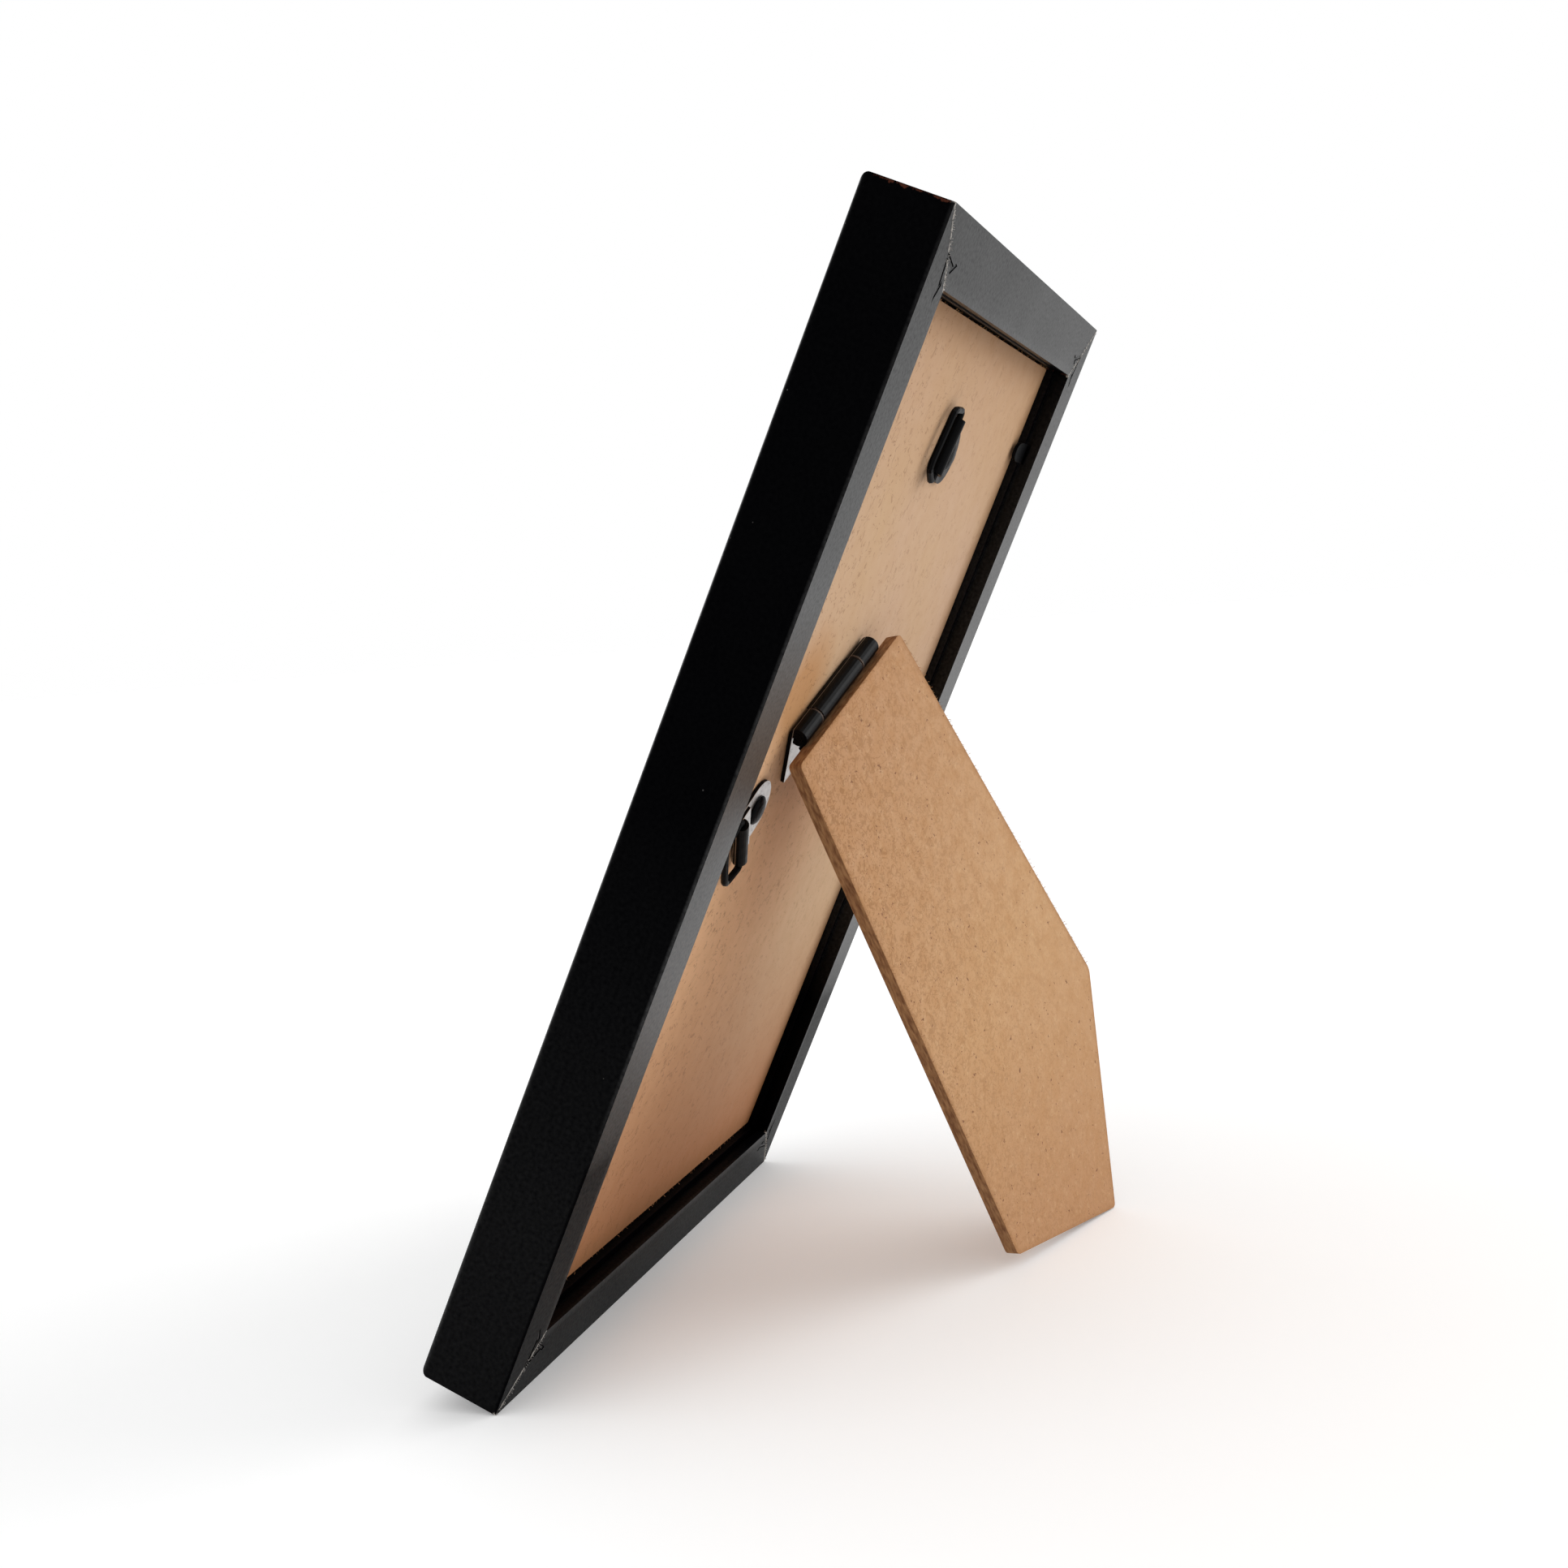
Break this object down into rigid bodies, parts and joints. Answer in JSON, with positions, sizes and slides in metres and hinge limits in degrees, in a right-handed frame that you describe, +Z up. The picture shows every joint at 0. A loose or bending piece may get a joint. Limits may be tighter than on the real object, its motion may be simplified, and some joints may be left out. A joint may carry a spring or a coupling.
{
  "type": "picture frame with easel leg",
  "caption": "Black mitred picture frame for a small upright print, with glass, tan back board, corner nails, retaining tabs, ring hangers and a hinged fold-out easel leg.",
  "frame": {"origin": "on the table under the middle of the standing frame's box", "axes": "+Z up, the front faces -Y and leans back, the leg stands out behind towards +Y, +X is to the right seen from the front"},
  "size_m": [0.1224, 0.0882, 0.1602],
  "materials": {
    "rail_foil": "black foil wrapped over fibreboard, satin",
    "back_hardboard": "bare fibreboard, matte",
    "leg_hardboard": "bare fibreboard, matte",
    "black_steel": "black lacquered sheet and wire, satin",
    "bare_steel": "bare rolled strip, dull",
    "paper": "plain white paper, matte",
    "glass": "clear sheet glass, polished"
  },
  "bodies": {
    "frame": {"rail_top": "rail_foil", "rail_bottom": "rail_foil", "rail_left": "rail_foil", "rail_right": "rail_foil", "v_nail_1": "bare_steel", "v_nail_2": "bare_steel", "v_nail_3": "bare_steel", "v_nail_4": "bare_steel", "retaining_tab_1": "bare_steel", "retaining_tab_2": "bare_steel", "retaining_tab_3": "bare_steel", "retaining_tab_4": "bare_steel", "glass_pane": "glass", "insert_sheet": "paper", "back_board": "back_hardboard", "hinge_board_leaf": "black_steel", "hinge_pin": "black_steel", "hanger_top_rivet": "black_steel", "hanger_side_rivet": "black_steel"},
    "leg": {"stand_leg": "leg_hardboard", "hinge_leg_leaf": "black_steel"},
    "top_strap": {"hanger_top_strap": "black_steel"},
    "top_loop": {"hanger_top_ring": "black_steel"},
    "side_strap": {"hanger_side_strap": "black_steel"},
    "side_loop": {"hanger_side_ring": "black_steel"}
  },
  "joints": [
    {"name": "leg_fold", "type": "hinge", "parent": "frame", "child": "leg", "pos_m": [0.0181, 0.01192, 0.09594], "axis": [0.8368, -0.2445, -0.4899], "range_deg": [-36, 0]},
    {"name": "top_strap_turn", "type": "hinge", "parent": "frame", "child": "top_strap", "pos_m": [0, 0.02733, 0.1305], "axis": [0, 0.8948, -0.4465], "continuous": true},
    {"name": "top_ring_swing", "type": "hinge", "parent": "top_strap", "child": "top_loop", "pos_m": [0.00606, 0.02907, 0.13107], "axis": [-0.2079, 0.4368, 0.8752], "range_deg": [-7, 160]},
    {"name": "side_strap_turn", "type": "hinge", "parent": "frame", "child": "side_strap", "pos_m": [0.0326, 0.00228, 0.0803], "axis": [0, 0.8948, -0.4465], "range_deg": [-70, 45]},
    {"name": "side_ring_swing", "type": "hinge", "parent": "side_strap", "child": "side_loop", "pos_m": [0.03685, 0.00142, 0.07568], "axis": [0.6947, 0.3212, 0.6436], "range_deg": [-7, 160]}
  ]
}
